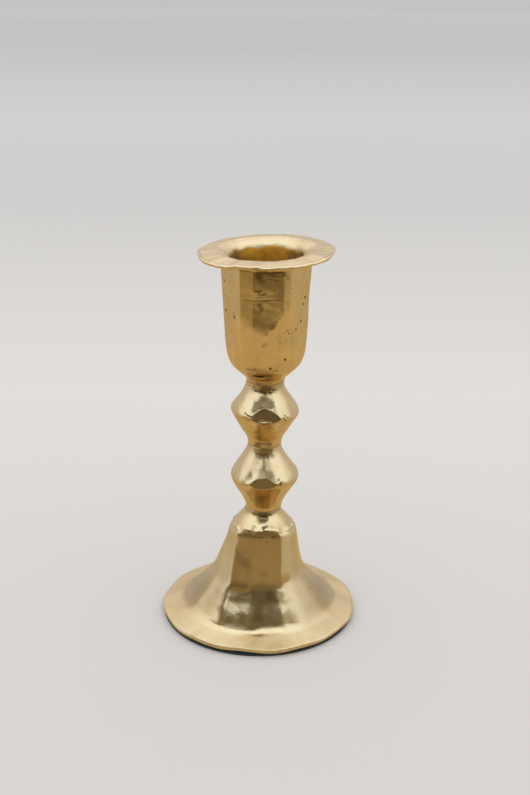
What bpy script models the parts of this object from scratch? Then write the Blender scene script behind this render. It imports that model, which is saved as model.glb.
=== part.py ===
"""Hammered brass candlestick: a bell foot, two knops and a candle cup, drawn together by a tie rod.

Metres, +Z up. The origin is the middle of the felt's underside, where the candlestick stands.
Outlines are lists of (radius, height) in millimetres, measured from the table.
"""

import math

import bpy

MM = 0.001

# Fits
GAP = 0.3            # between pieces that touch
HOLE_PLAY = 0.6      # of every hole in the brass round the rod, on the radius

# Heights of the seams between the brass pieces
FLANGE_BOTTOM = 1.5
CROWN_SEAT = 38.5
WAIST_SEAT = 61.2
NECK_SEAT = 83.0
RIM_TOP = 126.0

# Foot
FLANGE_RADIUS = 32.6
REBATE_RADIUS = 27.4
REBATE_CEILING = 3.0
HOLLOW_CEILING = 31.0
LEAN_START = 16.0    # the bell stands upright up to here, and leans from here to LEAN_END
LEAN_END = 30.0

# Candle cup
SOCKET_RADIUS = 11.25
SOCKET_FLOOR = 97.0
ROD_HOLE_TOP = 93.0
RIM_RADIUS = 21.3
RIM_DIP_START = 119.0
RIM_SLOPE = math.tan(math.radians(1.3))

# How far each piece has slid off the origin's axis, towards +X
CROWN_SHIFT = 1.2
LOWER_KNOP_SHIFT = 1.55
UPPER_KNOP_SHIFT = 1.7
CUP_SHIFT = 1.85
ROD_SHIFT = 1.6

# Tie rod and what holds it under the crown
ROD_RADIUS = 2.5
ROD_BOTTOM = 20.0
ROD_TOP = 92.4
ROD_CHAMFER = 0.5
CROWN_WASHER_RADIUS = 7.5
CROWN_WASHER_THICKNESS = 1.2
LOCK_WASHER_RADIUS = 4.6
LOCK_WASHER_THICKNESS = 1.3
LOCK_WASHER_SLIT = 0.9
NUT_ACROSS_FLATS = 8.0
NUT_THICKNESS = 4.0
NUT_CHAMFER = 0.7

# Underside
FELT_RADIUS = 32.1
FELT_THICKNESS = 1.2
BOARD_RADIUS = 27.0
BOARD_THICKNESS = 0.9

# Steps round the turned pieces
FOOT_STEPS = 56
CUP_STEPS = 48
KNOP_STEPS = 40
SMALL_STEPS = 32

ROD_HOLE_RADIUS = ROD_RADIUS + HOLE_PLAY

# Materials: colour, roughness, metallic
BRASS = ("hammered_brass", (0.74, 0.56, 0.29), 0.27, 1.0)
ZINC_STEEL = ("zinc_steel", (0.60, 0.61, 0.62), 0.35, 1.0)
SPRING_STEEL = ("spring_steel", (0.24, 0.24, 0.25), 0.45, 1.0)
GREY_BOARD = ("grey_board", (0.36, 0.33, 0.29), 0.9, 0.0)
GREEN_FELT = ("green_felt", (0.03, 0.07, 0.05), 1.0, 0.0)


def clear_scene():
    for leftover in list(bpy.data.objects):
        bpy.data.objects.remove(leftover)


def new_collection(name):
    collection = bpy.data.collections.new(name)
    bpy.context.scene.collection.children.link(collection)
    return collection


def material(spec):
    """The Principled material of a spec, made once."""
    name, colour, roughness, metallic = spec
    found = bpy.data.materials.get(name)
    if found:
        return found
    made = bpy.data.materials.new(name)
    made.use_nodes = True
    made.diffuse_color = (*colour, 1.0)
    shader = made.node_tree.nodes["Principled BSDF"]
    shader.inputs["Base Color"].default_value = (*colour, 1.0)
    shader.inputs["Roughness"].default_value = roughness
    shader.inputs["Metallic"].default_value = metallic
    return made


def smooth(points, steps):
    """Points on a smooth curve through the given ones, steps of them to each stretch."""
    ends = [points[0], *points, points[-1]]
    found = []
    for before, start, end, after in zip(ends, ends[1:], ends[2:], ends[3:]):
        for step in range(steps):
            t = step / steps
            found.append(tuple(catmull_rom(*axis, t) for axis in zip(before, start, end, after)))
    return [*found, points[-1]]


def catmull_rom(before, start, end, after, t):
    tangent_in = (end - before) / 2
    tangent_out = (after - start) / 2
    return (
        (2 * t**3 - 3 * t**2 + 1) * start
        + (t**3 - 2 * t**2 + t) * tangent_in
        + (3 * t**2 - 2 * t**3) * end
        + (t**3 - t**2) * tangent_out
    )


def smoothstep(value, start, end):
    t = min(max((value - start) / (end - start), 0.0), 1.0)
    return t * t * (3 - 2 * t)


def profile_object(name, outline, closed, collection):
    """A profile at +X in the XZ plane, ready for a Screw modifier."""
    mesh = bpy.data.meshes.new(name)
    points = [(radius * MM, 0.0, height * MM) for radius, height in outline]
    edges = [(i, i + 1) for i in range(len(points) - 1)]
    if closed:
        edges.append((len(points) - 1, 0))
    mesh.from_pydata(points, edges, [])
    made = bpy.data.objects.new(name, mesh)
    collection.objects.link(made)
    return made


def turned(name, outline, steps, collection, closed=True):
    """A turned piece, whose outline runs down the outer side; closed means a hole goes right through."""
    made = profile_object(name, outline, closed, collection)
    screw = made.modifiers.new("Turn", "SCREW")
    screw.axis = "Z"
    screw.angle = math.tau
    screw.steps = steps
    screw.render_steps = steps
    screw.use_merge_vertices = True
    screw.merge_threshold = 0.00001
    screw.use_smooth_shade = True
    return made


def finish(made, spec, shift=0.0):
    """Gives a piece its material and its place on the stack."""
    made.data.materials.append(material(spec))
    made.location.x = shift * MM
    return made


def worked(made, move):
    """Moves each point of a turned piece by hand: move takes and gives millimetres."""
    bpy.context.view_layer.update()
    evaluated = made.evaluated_get(bpy.context.evaluated_depsgraph_get())
    mesh = bpy.data.meshes.new_from_object(evaluated)
    made.modifiers.clear()
    profile = made.data
    made.data = mesh
    bpy.data.meshes.remove(profile)
    for vertex in mesh.vertices:
        vertex.co = [value * MM for value in move(*(value / MM for value in vertex.co))]
    return made


def cut(made, cutter, operation="DIFFERENCE"):
    cutter.hide_render = True
    cutter.display_type = "WIRE"
    boolean = made.modifiers.new(cutter.name, "BOOLEAN")
    boolean.operation = operation
    boolean.object = cutter
    boolean.solver = "EXACT"


def soften_corners(made):
    """Smooth shading with sharp edges where faces meet at a clear angle."""
    made.data.shade_smooth()
    made.data.set_sharp_from_angle(angle=math.radians(35))


def leaning_bell(x, y, z):
    """Carries the upper part of the bell over towards +X, its flange staying flat on the table."""
    return x + CROWN_SHIFT * smoothstep(z, LEAN_START, LEAN_END), y, z


def tilted_rim(x, y, z):
    """Lifts the rim on the +X side and drops it on the other."""
    return x, y, z + RIM_SLOPE * x * smoothstep(z, RIM_DIP_START, RIM_DIP_START + 4)


def foot(collection):
    """The hollow bell with its flange, its flat crown seat and the rebate for the board."""
    crown = smooth([(5.7, CROWN_SEAT), (7.2, 35.8), (10.5, 33.4)], 3)
    bell = smooth([(10.5, 33.4), (11.4, 28.6), (12.9, 22.4), (15.2, 15.5), (18.7, 10.2), (23.6, 6.0)], 2)
    flange = smooth([(23.6, 6.0), (26.8, 4.6), (31.9, 3.1)], 2)
    edge = [(FLANGE_RADIUS, 2.6), (FLANGE_RADIUS, 1.9), (32.2, FLANGE_BOTTOM)]
    rebate = [(REBATE_RADIUS, FLANGE_BOTTOM), (REBATE_RADIUS, REBATE_CEILING), (23.4, REBATE_CEILING)]
    hollow = smooth([(23.4, REBATE_CEILING), (16.9, 8.4), (13.1, 14.6), (10.7, 22.0), (9.3, 28.4)], 2)
    bore = [(8.7, HOLLOW_CEILING), (ROD_HOLE_RADIUS, HOLLOW_CEILING), (ROD_HOLE_RADIUS, CROWN_SEAT)]
    outline = [*crown, *bell[1:], *flange[1:], *edge, *rebate, *hollow[1:], *bore]
    made = worked(turned("foot", outline, FOOT_STEPS, collection), leaning_bell)
    soften_corners(made)
    return finish(made, BRASS)


def knop(name, lower_neck, equator, upper_neck, shift, collection):
    """A double cone with concave necks, flat on both seats, with a hole for the rod."""
    lower = smooth([lower_neck[0], lower_neck[1], equator], 2)
    upper = smooth([upper_neck[0], upper_neck[1], equator], 2)
    top, bottom = upper[0][1], lower[0][1]
    hole = [(ROD_HOLE_RADIUS, bottom), (ROD_HOLE_RADIUS, top)]
    outline = [*upper, *reversed(lower[:-1]), *hole]
    return finish(turned(name, outline, KNOP_STEPS, collection), BRASS, shift)


def lower_knop(collection):
    lower_neck = [(5.8, CROWN_SEAT + GAP), (6.8, 42.0)]
    upper_neck = [(5.3, WAIST_SEAT), (6.6, 58.1)]
    return knop("lower_knop", lower_neck, (11.7, 50.4), upper_neck, LOWER_KNOP_SHIFT, collection)


def upper_knop(collection):
    lower_neck = [(5.3, WAIST_SEAT + GAP), (6.5, 65.0)]
    upper_neck = [(6.0, NECK_SEAT), (7.1, 79.9)]
    return knop("upper_knop", lower_neck, (11.4, 73.2), upper_neck, UPPER_KNOP_SHIFT, collection)


def candle_cup(collection):
    """The cup and its wide rim, with a flat floor for the candle and a blind hole for the rod below."""
    lip = smooth([(14.6, 125.9), (12.9, 125.0), (11.7, 122.6), (SOCKET_RADIUS, 119.0)], 2)
    socket = [(SOCKET_RADIUS, SOCKET_FLOOR + 1.2), (SOCKET_RADIUS - 1.2, SOCKET_FLOOR), (0.0, SOCKET_FLOOR)]
    rod_hole = [(0.0, ROD_HOLE_TOP), (ROD_HOLE_RADIUS, ROD_HOLE_TOP), (ROD_HOLE_RADIUS, NECK_SEAT + GAP)]
    neck = [(6.1, NECK_SEAT + GAP), (7.4, 85.4), (11.2, 89.2)]
    bowl = smooth([*neck, (12.8, 95.0), (13.3, 106.0), (14.2, 119.5)], 2)
    rim_under = smooth([(14.2, 119.5), (15.6, 122.6), (20.9, 124.1)], 2)
    rim_edge = [(RIM_RADIUS, 124.5), (RIM_RADIUS, 125.2), (20.8, 125.6), (17.5, RIM_TOP)]
    outer = [*reversed(rim_edge), *reversed(rim_under), *reversed(bowl[:-1])]
    outline = [*reversed(socket), *reversed(lip), *outer, *reversed(rod_hole)]
    made = worked(turned("candle_cup", outline, CUP_STEPS, collection, closed=False), tilted_rim)
    soften_corners(made)
    return finish(made, BRASS, CUP_SHIFT)


def tie_rod(collection):
    chamfered = ROD_RADIUS - ROD_CHAMFER
    outline = [
        (0.0, ROD_TOP),
        (chamfered, ROD_TOP),
        (ROD_RADIUS, ROD_TOP - ROD_CHAMFER),
        (ROD_RADIUS, ROD_BOTTOM + ROD_CHAMFER),
        (chamfered, ROD_BOTTOM),
        (0.0, ROD_BOTTOM),
    ]
    made = turned("tie_rod", outline, SMALL_STEPS, collection, closed=False)
    return finish(made, ZINC_STEEL, ROD_SHIFT)


def ring_outline(inner, outer, bottom, top):
    return [(outer, top), (outer, bottom), (inner, bottom), (inner, top)]


def crown_washer(collection):
    top = HOLLOW_CEILING - GAP
    outline = ring_outline(ROD_RADIUS + GAP, CROWN_WASHER_RADIUS, top - CROWN_WASHER_THICKNESS, top)
    made = turned("crown_washer", outline, SMALL_STEPS, collection)
    return finish(made, ZINC_STEEL, ROD_SHIFT)


def lock_washer_top():
    return HOLLOW_CEILING - GAP - CROWN_WASHER_THICKNESS - GAP


def lock_washer(collection, cutters):
    """A spring washer, cut through on the -X side."""
    top = lock_washer_top()
    bottom = top - LOCK_WASHER_THICKNESS
    outline = ring_outline(ROD_RADIUS + GAP, LOCK_WASHER_RADIUS, bottom, top)
    made = turned("lock_washer", outline, SMALL_STEPS, collection)
    bpy.ops.mesh.primitive_cube_add(size=1)
    slit = bpy.context.active_object
    slit.name = "lock_washer_slit"
    slit.scale = (4 * MM, LOCK_WASHER_SLIT * MM, 2 * LOCK_WASHER_THICKNESS * MM)
    slit.location = ((ROD_SHIFT - LOCK_WASHER_RADIUS) * MM, 0.0, (top + bottom) / 2 * MM)
    slit.rotation_euler.x = math.radians(20)
    move_to(slit, cutters)
    cut(made, slit)
    return finish(made, SPRING_STEEL, ROD_SHIFT)


def move_to(made, collection):
    for old in list(made.users_collection):
        old.objects.unlink(made)
    collection.objects.link(made)


def hex_nut(collection, cutters):
    """A chamfered hexagon nut with a plain hole."""
    top = lock_washer_top() - LOCK_WASHER_THICKNESS - GAP
    bottom = top - NUT_THICKNESS
    corner = NUT_ACROSS_FLATS / 2 / math.cos(math.radians(30))
    bpy.ops.mesh.primitive_cylinder_add(vertices=6, radius=corner * MM, depth=NUT_THICKNESS * MM)
    made = bpy.context.active_object
    made.name = "hex_nut"
    made.data.name = "hex_nut"
    move_to(made, collection)
    made.location.z = (top + bottom) / 2 * MM
    envelope = turned("hex_nut_chamfers", chamfer_outline(corner), SMALL_STEPS, cutters, closed=False)
    envelope.location = (ROD_SHIFT * MM, 0.0, (top + bottom) / 2 * MM)
    cut(made, envelope, "INTERSECT")
    bpy.ops.mesh.primitive_cylinder_add(
        vertices=SMALL_STEPS, radius=(ROD_RADIUS + GAP) * MM, depth=2 * NUT_THICKNESS * MM
    )
    hole = bpy.context.active_object
    hole.name = "hex_nut_hole"
    hole.location = envelope.location
    move_to(hole, cutters)
    cut(made, hole)
    return finish(made, ZINC_STEEL, ROD_SHIFT)


def chamfer_outline(corner):
    """A barrel, centred on its middle, that takes the corners off both faces of the hexagon."""
    widest = corner + 0.5
    face = corner - NUT_CHAMFER
    reach = NUT_THICKNESS / 2 + 0.2
    shoulder = NUT_THICKNESS / 2 - NUT_CHAMFER
    upper = [(0.0, reach), (face, reach), (widest, shoulder)]
    return [*upper, *((radius, -height) for radius, height in reversed(upper))]


def disc(name, radius, bottom, top, steps, spec, collection):
    outline = [(0.0, top), (radius, top), (radius, bottom), (0.0, bottom)]
    return finish(turned(name, outline, steps, collection, closed=False), spec)


def base_board(collection):
    bottom = FELT_THICKNESS + GAP
    top = bottom + BOARD_THICKNESS
    return disc("base_board", BOARD_RADIUS, bottom, top, CUP_STEPS, GREY_BOARD, collection)


def base_felt(collection):
    return disc("base_felt", FELT_RADIUS, 0.0, FELT_THICKNESS, FOOT_STEPS, GREEN_FELT, collection)


def candlestick():
    clear_scene()
    collection = new_collection("candlestick")
    cutters = new_collection("cutters")
    stack = bpy.data.objects.new("stack", None)
    collection.objects.link(stack)
    pieces = [
        foot(collection),
        lower_knop(collection),
        upper_knop(collection),
        candle_cup(collection),
        tie_rod(collection),
        crown_washer(collection),
        lock_washer(collection, cutters),
        hex_nut(collection, cutters),
        base_board(collection),
        base_felt(collection),
    ]
    for piece in pieces:
        piece.parent = stack


candlestick()
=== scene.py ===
"""The looks of the hammered brass candlestick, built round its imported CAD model.

Metres and +Z up outside; inside a piece's own shape, millimetres measured from the foot of its axis.
Angles named "round" are in degrees from the front (-Y), growing towards +X.
"""

import math

import bpy
import numpy as np
from mathutils import Matrix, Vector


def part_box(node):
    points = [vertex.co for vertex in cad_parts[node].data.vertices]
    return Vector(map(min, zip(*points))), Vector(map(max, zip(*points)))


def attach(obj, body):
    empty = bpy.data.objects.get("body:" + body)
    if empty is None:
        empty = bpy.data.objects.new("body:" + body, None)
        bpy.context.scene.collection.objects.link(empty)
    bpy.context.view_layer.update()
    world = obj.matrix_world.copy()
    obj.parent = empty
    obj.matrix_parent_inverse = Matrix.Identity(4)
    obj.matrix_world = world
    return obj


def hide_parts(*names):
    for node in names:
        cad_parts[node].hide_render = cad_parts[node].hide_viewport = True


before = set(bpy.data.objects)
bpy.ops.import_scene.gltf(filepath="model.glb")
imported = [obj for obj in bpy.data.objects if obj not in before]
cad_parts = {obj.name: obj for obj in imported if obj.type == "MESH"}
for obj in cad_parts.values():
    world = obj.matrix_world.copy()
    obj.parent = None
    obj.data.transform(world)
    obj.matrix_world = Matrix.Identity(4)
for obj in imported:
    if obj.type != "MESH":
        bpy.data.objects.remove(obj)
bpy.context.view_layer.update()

MM = 0.001

# spacing of mesh rings, mm
FINE = 0.25      # on surfaces that show
TIGHT = 0.2      # on sharp edges and the knops
SEAT_GAP = 0.7   # where pieces stand on each other
COARSE = 1.2     # on hidden surfaces

# how many points a ring of each piece has
CUP_POINTS = 300
KNOP_POINTS = 320
FOOT_POINTS = 400
FELT_POINTS = 384


# ---------------------------------------------------------------- camera

CAMERA_PLACE = (0.0017, -0.390, 0.220)
CAMERA_DOWN = 20.13
CAMERA_ROLL = 0.45
CAMERA_LENS = 57.96
CAMERA_SENSOR = 36.0
CAMERA_SEES = (0.01, 50.0)


def make_camera():
    data = bpy.data.cameras.new("camera")
    data.sensor_fit = "AUTO"
    data.sensor_width = CAMERA_SENSOR
    data.lens = CAMERA_LENS
    data.clip_start, data.clip_end = CAMERA_SEES
    camera = bpy.data.objects.new("camera", data)
    bpy.context.scene.collection.objects.link(camera)
    tilt = Matrix.Rotation(math.radians(90 - CAMERA_DOWN), 4, "X")
    roll = Matrix.Rotation(math.radians(CAMERA_ROLL), 4, "Z")
    camera.matrix_world = Matrix.Translation(CAMERA_PLACE) @ tilt @ roll
    bpy.context.scene.camera = camera


# ---------------------------------------------------------------- outlines

def curve(points, samples=24):
    """A smooth curve through (radius, height) points."""
    p = np.array([points[0], *points, points[-1]], float)
    t = np.linspace(0, 1, samples, endpoint=False)[:, None]
    found = []
    for before, start, end, after in zip(p, p[1:], p[2:], p[3:]):
        found.append(
            (2 * t**3 - 3 * t**2 + 1) * start
            + (t**3 - 2 * t**2 + t) * (end - before) / 2
            + (3 * t**2 - 2 * t**3) * end
            + (t**3 - t**2) * (after - start) / 2
        )
    return np.vstack([*found, p[-1:]])


def line(*points):
    return np.array(points, float)


def spaced(path, gap):
    """The same path with points about gap apart, its ends kept."""
    steps = np.linalg.norm(np.diff(path, axis=0), axis=1)
    along = np.concatenate([[0], np.cumsum(steps)])
    count = max(2, int(round(along[-1] / gap)) + 1)
    wanted = np.linspace(0, along[-1], count)
    return np.column_stack([np.interp(wanted, along, path[:, i]) for i in (0, 1)])


def outline(*stretches):
    """(points, zone of each point) from stretches of (zone, path, gap), end to end."""
    points, zones = [], []
    for zone, path, gap in stretches:
        part = spaced(path, gap)
        if points and np.allclose(points[-1][-1], part[0]):
            part = part[1:]
        points.append(part)
        zones += [zone] * len(part)
    return np.vstack(points), np.array(zones)


# ---------------------------------------------------------------- hand work

def radians_round(degrees):
    """The polar angle of a direction given in degrees from the front."""
    return np.radians(np.asarray(degrees, float) - 90)


def apart(a, b):
    """The signed difference of two angles in degrees, from -180 to 180."""
    return (a - b + 180) % 360 - 180


def step(value, start, end):
    """0 at start, 1 at end, smooth between and flat beyond."""
    t = np.clip((value - start) / (end - start), 0, 1)
    return t * t * (3 - 2 * t)


def hill(value, middle, half_width):
    """1 at the middle, falling off smoothly on both sides."""
    return np.exp(-(((value - middle) / half_width) ** 2))


def hill_round(angle, middle, half_width):
    return np.exp(-((apart(angle, middle) / half_width) ** 2))


def ripple(points, size, seed, waves=14):
    """A smooth random field of about unit height, whose bumps are about size across."""
    rng = np.random.default_rng(seed)
    total = np.zeros(points.shape[:-1])
    for _ in range(waves):
        direction = rng.normal(size=3)
        direction /= np.linalg.norm(direction)
        number = 2 * math.pi / (size * rng.uniform(0.75, 1.5))
        total += np.cos(points @ (direction * number) + rng.uniform(0, 2 * math.pi))
    return total / math.sqrt(waves / 2)


def ripples(points, *parts):
    """A sum of random fields, each part (height, size of its bumps, seed)."""
    return sum(height * ripple(points, size, seed) for height, size, seed in parts)


def ripple_round(angle, lobes, seed):
    """A smooth random height round the axis, made of the given counts of lobes."""
    rng = np.random.default_rng(seed)
    total = np.zeros_like(angle)
    for count in lobes:
        total += rng.uniform(0.5, 1) * np.cos(np.radians(count * angle) + rng.uniform(0, 2 * math.pi))
    return total / math.sqrt(len(lobes) / 2)


def flatten(points, mask, spot, facing, lean, depth, soft):
    """Flattens what stands above a plane: the mark of a hammer or a file.

    The plane touches at spot (radius, height), facing so many degrees round and leaning up, depth below it.
    """
    around = radians_round(facing)
    up = math.radians(lean)
    normal = np.array([math.cos(up) * math.cos(around), math.cos(up) * math.sin(around), math.sin(up)])
    place = np.array([spot[0] * math.cos(around), spot[0] * math.sin(around), spot[1]])
    above = points @ normal - (place @ normal - depth)
    push = soft * np.logaddexp(0, above / soft)
    push = np.where(above < -8 * soft, 0, push)
    return points - (push * mask)[..., None] * normal


def faceted(angle, rise, edges, soft):
    """How far in the flat sides of a prism lie, as a share of its corner radius, 1 at the corners.

    Each edge is (degrees round at the foot, degrees round at the top); rise goes from 0 to 1 between them.
    """
    turned_away, far_out = 1.4, 9.0
    found = []
    ring = [*edges, (edges[0][0] + 360, edges[0][1] + 360)]
    for (start_low, start_high), (end_low, end_high) in zip(ring, ring[1:]):
        start = start_low + (start_high - start_low) * rise
        end = end_low + (end_high - end_low) * rise
        turn = np.radians(apart(angle, (start + end) / 2))
        half = np.radians((end - start) / 2)
        side = np.cos(half) / np.maximum(np.cos(turn), 0.1)
        found.append(np.where(np.abs(turn) < turned_away, side, far_out))
    found = np.array(found)
    nearest = found.min(axis=0)
    return nearest - soft * np.log(np.exp(-(found - nearest) / soft).sum(axis=0))


def scaled_round(rings, share):
    """The rings with each point's distance from the axis scaled."""
    return rings * np.stack([share, share, np.ones_like(share)], axis=-1)


def mark(points, angle, facing, height, wide, tall, turn=0.0):
    """A soft-edged oval patch of a turned surface, 1 in its middle; its size is in mm."""
    radius = np.hypot(points[..., 0], points[..., 1])
    across = np.radians(apart(angle, facing)) * radius
    up = points[..., 2] - height
    lean = math.radians(turn)
    along = (across * math.cos(lean) + up * math.sin(lean)) / wide
    over = (up * math.cos(lean) - across * math.sin(lean)) / tall
    near = np.abs(apart(angle, facing)) < 90
    return near * step(1.35 - np.hypot(along, over), 0.0, 0.7)


def rounded(rings, limit, soft):
    """The rings with what lies further out than limit drawn in softly."""
    radius = np.hypot(rings[..., 0], rings[..., 1])
    drawn = radius - soft * np.logaddexp(0, (radius - limit) / soft)
    return scaled_round(rings, drawn / np.maximum(radius, 1e-6))


def normals_of(points):
    """The outward unit normals of a grid of points, rings first."""
    along = np.gradient(points, axis=0)
    around = np.roll(points, -1, axis=1) - np.roll(points, 1, axis=1)
    normal = np.cross(around, along)
    length = np.linalg.norm(normal, axis=-1, keepdims=True)
    return -normal / np.maximum(length, 1e-9)


def raised(points, skin, by):
    """The points moved out along their normals by so many mm."""
    return points + skin * by[..., None]


def marked_dark(soil_and_shade, points, angle, stains, where):
    """The soil and painted shade with soft dark marks added: (degrees round, height, width, height of the
    mark, how dark).
    """
    for facing, up, wide, tall, dark in stains:
        soil_and_shade = np.maximum(soil_and_shade, dark * mark(points, angle, facing, up, wide, tall) * where)
    return soil_and_shade


def zone_picker(zones, height):
    """A function of zone names that is 1 at the points of those zones, else 0."""
    def zone(*names):
        return np.isin(zones, names)[:, None] * np.ones_like(height)
    return zone


# ---------------------------------------------------------------- turned meshes

def grid(points, segments):
    """Rings of points round the axis, with each point's degrees round."""
    angle = np.linspace(-180, 180, segments, endpoint=False)
    polar = radians_round(angle)
    rings = np.empty((len(points), segments, 3))
    rings[..., 0] = points[:, None, 0] * np.cos(polar)
    rings[..., 1] = points[:, None, 0] * np.sin(polar)
    rings[..., 2] = points[:, None, 1]
    return rings, np.broadcast_to(angle, rings.shape[:2])


def mesh_of(name, rings, closed, place, fields):
    """A closed mesh of quads from rings; an open outline has its first and last ring on the axis."""
    count, segments = rings.shape[:2]
    vertices = (rings.reshape(-1, 3) * MM) + np.array(place)
    index = np.arange(count * segments).reshape(count, segments)
    body = np.vstack([index, index[:1]]) if closed else index[1:-1]
    quads = [
        np.column_stack([above, below, np.roll(below, -1), np.roll(above, -1)])
        for above, below in zip(body, body[1:])
    ]
    faces = np.vstack(quads).tolist()
    keep = np.ones(len(vertices), bool)
    if not closed:
        first, last = body[0], body[-1]
        top, bottom = np.full(segments, index[0, 0]), np.full(segments, index[-1, 0])
        faces += np.column_stack([top, first, np.roll(first, -1)]).tolist()
        faces += np.column_stack([last, bottom, np.roll(last, -1)]).tolist()
        keep[index[0, 1:]] = False
        keep[index[-1, 1:]] = False
    renumber = np.cumsum(keep) - 1
    faces = [[int(renumber[i]) for i in face] for face in faces]
    mesh = bpy.data.meshes.new(name)
    mesh.from_pydata(vertices[keep].tolist(), [], faces)
    for field, values in fields.items():
        attribute = mesh.attributes.new(field, "FLOAT", "POINT")
        attribute.data.foreach_set("value", values.reshape(-1)[keep].astype(np.float32))
    mesh.shade_smooth()
    made = bpy.data.objects.new(name, mesh)
    bpy.context.scene.collection.objects.link(made)
    return made


# ---------------------------------------------------------------- the brass pieces

def axis_of(node):
    """The middle of a node's box in X and Y, on the table."""
    low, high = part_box(node)
    return ((low.x + high.x) / 2, (low.y + high.y) / 2, 0.0)


def heights(node):
    """The bottom and the top of a node's box, mm."""
    low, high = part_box(node)
    return low.z / MM, high.z / MM


SEAM = 0.12      # how far each brass piece reaches into the CAD's gap at a seam, mm
HOLE = 3.1       # radius of the hole for the tie rod, mm

SOCKET = 11.3    # radius of the candle's socket, mm
SOCKET_FLOOR = 97.0
CUP_HOLE_END = 93.0
CUP_SEAT = 6.1   # radius of the cup where it stands on the upper knop
RIM_ROOT = (14.6, 122.9)
RIM_UNDER = (20.8, 124.35)
LIP_TOP = (15.8, 125.95)
RIM_RADIUS = 21.0
RIM_SIDE_SLOPE = 0.026
RIM_BACK_SLOPE = 0.016
RIM_LIFT = 0.50
RIM_CORNER = 0.5

# where the flat sides of the cup and the bell meet: degrees round at the foot, and at the top
CUP_EDGES = (
    (-37, -35), (-17, -16), (20, 20), (34, 32), (79, 76), (113, 116),
    (150, 146), (181, 183), (214, 212), (248, 251), (282, 279),
)
BELL_EDGES = (
    (-31, -50), (-6, -9), (23, 34), (42, 58), (72, 86), (104, 106),
    (141, 138), (176, 180), (212, 207), (247, 243), (294, 282),
)

PIT_CORE = 0.75  # the part of a pit's listed size that is dented
PIT_DEPTH = 0.2

# small marks on the cup's wall: degrees round, height, width and height of the mark in mm, how dark
CUP_PITS = (
    (-73.6, 117.1, 0.5, 0.5, 0.9), (-72.4, 107.5, 0.5, 0.7, 0.9), (-50.6, 106.5, 0.45, 0.9, 1.0),
    (-52.5, 107.6, 0.4, 0.5, 0.8), (-57.2, 114.2, 0.35, 0.4, 0.6), (66.4, 112.3, 0.55, 0.6, 1.0),
    (63.6, 110.2, 0.5, 0.5, 0.9), (59.0, 104.9, 0.8, 0.4, 1.0), (50.7, 104.4, 0.4, 0.4, 0.7),
    (48.8, 102.8, 0.4, 0.6, 0.8), (31.7, 103.1, 0.4, 0.4, 0.8), (34.9, 102.0, 0.5, 0.4, 0.9),
    (30.2, 93.5, 0.5, 0.5, 0.9), (7.4, 90.6, 0.6, 0.5, 0.9), (33.0, 116.8, 0.4, 0.4, 0.7),
    (40.0, 118.4, 0.5, 0.3, 0.5), (-64.0, 101.0, 0.3, 0.4, 0.5), (120.0, 108.0, 0.5, 0.5, 0.9),
    (165.0, 115.0, 0.5, 0.4, 0.9), (-150.0, 104.0, 0.5, 0.6, 0.9), (-115.0, 112.0, 0.4, 0.5, 0.8),
)
# soft dark marks on the cup's front: degrees round, height, width and height of the mark, how dark; the last
# four rows make a dark band just under the rim
CUP_DARK_MARKS = (
    (-12.0, 116.3, 0.8, 0.2, 0.6), (-8.0, 116.5, 0.5, 0.3, 0.7), (-9.5, 115.7, 0.3, 0.6, 0.6),
    (-5.0, 115.2, 0.9, 0.2, 0.7), (-1.0, 115.6, 0.5, 0.2, 0.6), (-12.5, 115.2, 0.4, 0.2, 0.4),
    (-8.5, 111.9, 0.9, 0.7, 0.6), (-6.0, 110.6, 0.6, 1.2, 0.5), (-9.0, 110.9, 0.4, 0.5, 0.5),
    (-1.0, 99.2, 0.9, 0.5, 0.3), (-3.0, 98.4, 0.5, 0.4, 0.4),
    (-9.0, 121.5, 1.2, 1.5, 0.55), (-4.0, 122.4, 1.6, 0.6, 0.6), (4.0, 122.0, 2.2, 0.4, 0.55),
    (14.0, 122.3, 2.6, 0.35, 0.6), (9.0, 121.2, 2.4, 0.25, 0.45), (-6.0, 119.6, 1.0, 0.9, 0.35),
    (22.0, 121.5, 0.9, 0.6, 0.5), (-26.0, 122.5, 2.2, 0.3, 0.5), (12.0, 119.7, 0.9, 0.25, 0.35),
    (3.0, 120.2, 1.4, 0.2, 0.35), (27.0, 120.4, 0.5, 0.7, 0.3), (-20.0, 120.2, 0.4, 1.2, 0.2),
)


def cup_outline(foot_height):
    barrel = [RIM_ROOT, (14.4, 117.0), (13.9, 109.8), (13.6, 104.0), (13.42, 100.5), (13.28, 97.6)]
    neck = [(12.7, 93.1), (11.15, 89.2), (8.6, 86.6), (6.75, 84.9), (CUP_SEAT, foot_height)]
    lip = [(SOCKET, 119.5), (11.45, 122.3), (12.1, 124.05), (13.5, 125.3), LIP_TOP]
    return outline(
        ("floor", line((0, SOCKET_FLOOR), (9.3, SOCKET_FLOOR)), COARSE),
        ("floor", curve([(9.3, SOCKET_FLOOR), (10.7, 97.5), (SOCKET, 99.0)]), 0.5),
        ("socket", line((SOCKET, 99.0), (SOCKET, 119.5)), 0.6),
        ("lip", curve(lip), FINE),
        ("upper", curve([LIP_TOP, (17.8, 125.8), (20.5, 125.5)]), FINE),
        ("edge", curve([(20.5, 125.55), (21.15, 125.3), (21.3, 124.85), RIM_UNDER]), 0.16),
        ("under", curve([RIM_UNDER, (17.5, 123.8), (15.4, 123.5), RIM_ROOT]), FINE),
        ("wall", curve([*barrel, *neck]), FINE),
        ("seat", line((CUP_SEAT, foot_height), (HOLE, foot_height)), SEAT_GAP),
        ("bore", line((HOLE, foot_height), (HOLE, CUP_HOLE_END)), COARSE),
        ("bore", line((HOLE, CUP_HOLE_END), (0, CUP_HOLE_END)), COARSE),
    )


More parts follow.
